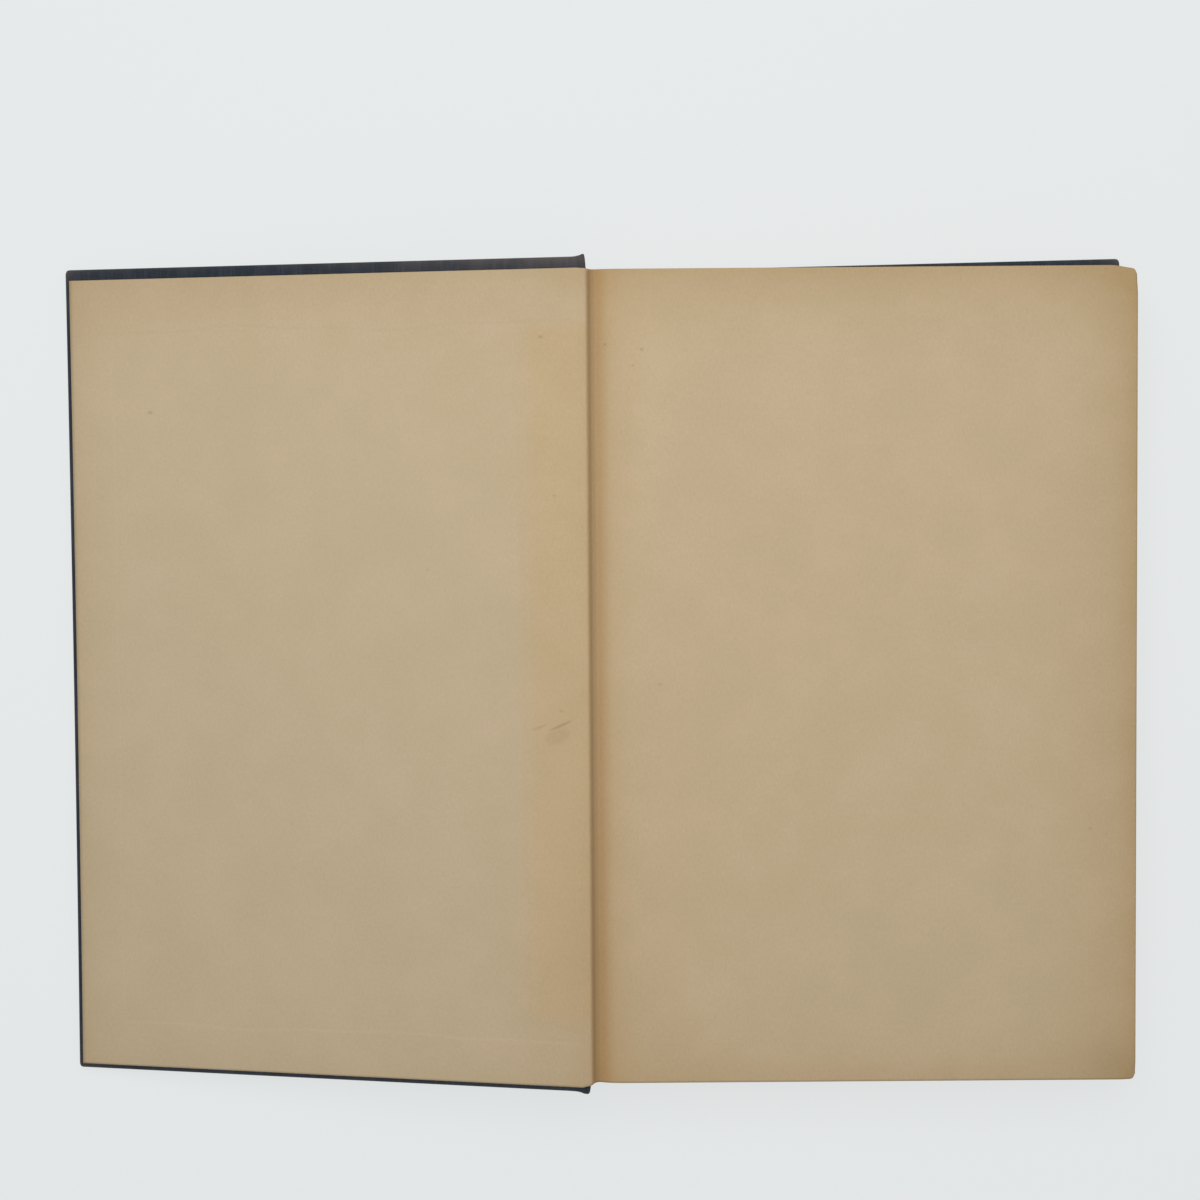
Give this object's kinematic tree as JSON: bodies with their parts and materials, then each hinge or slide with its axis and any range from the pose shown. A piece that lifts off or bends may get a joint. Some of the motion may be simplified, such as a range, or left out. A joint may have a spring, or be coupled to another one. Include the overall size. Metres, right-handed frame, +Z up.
{
  "type": "open hardback book",
  "caption": "Cloth-cased hardback book lying on its back cover with the front cover opened flat onto its plain endpapers; both covers hinge at the joints.",
  "frame": {"origin": "under the middle of the opened book's outline, on the surface that it lies on", "axes": "+X from the spine towards the pages' fore-edge, +Y towards the head, +Z up; the front cover lies open towards -X"},
  "size_m": [0.3102, 0.2366, 0.0272],
  "materials": {
    "cover_cloth": "dark navy book cloth, fine plain weave, worn paler along the edges",
    "board": "grey-brown binder's board",
    "page_paper": "uncoated book paper, cut edges toned with age",
    "endpaper": "matt uncoated endpaper, toned darker at the edges",
    "gauze": "open cotton gauze stiffened with glue"
  },
  "bodies": {
    "back_cover": {"back_board": "board", "back_cover_cloth": "cover_cloth", "back_lining_flange": "gauze", "back_pastedown": "endpaper"},
    "text_block": {"pages": "page_paper", "front_flyleaf": "endpaper", "back_flyleaf": "endpaper", "spine_lining": "gauze", "spine_inlay": "board", "spine_cloth": "cover_cloth"},
    "front_cover": {"front_board": "board", "front_cover_cloth": "cover_cloth", "front_lining_flange": "gauze", "front_pastedown": "endpaper"}
  },
  "joints": [
    {"name": "back_cover_hinge", "type": "hinge", "parent": "back_cover", "child": "text_block", "pos_m": [-0.00243, -0.0004, 0.0021], "axis": [0, -1, 0], "range_deg": [0, 165]},
    {"name": "front_cover_hinge", "type": "hinge", "parent": "text_block", "child": "front_cover", "pos_m": [-0.00243, -0.0004, 0.0265], "axis": [0, 1, 0], "range_deg": [0, 189]}
  ]
}
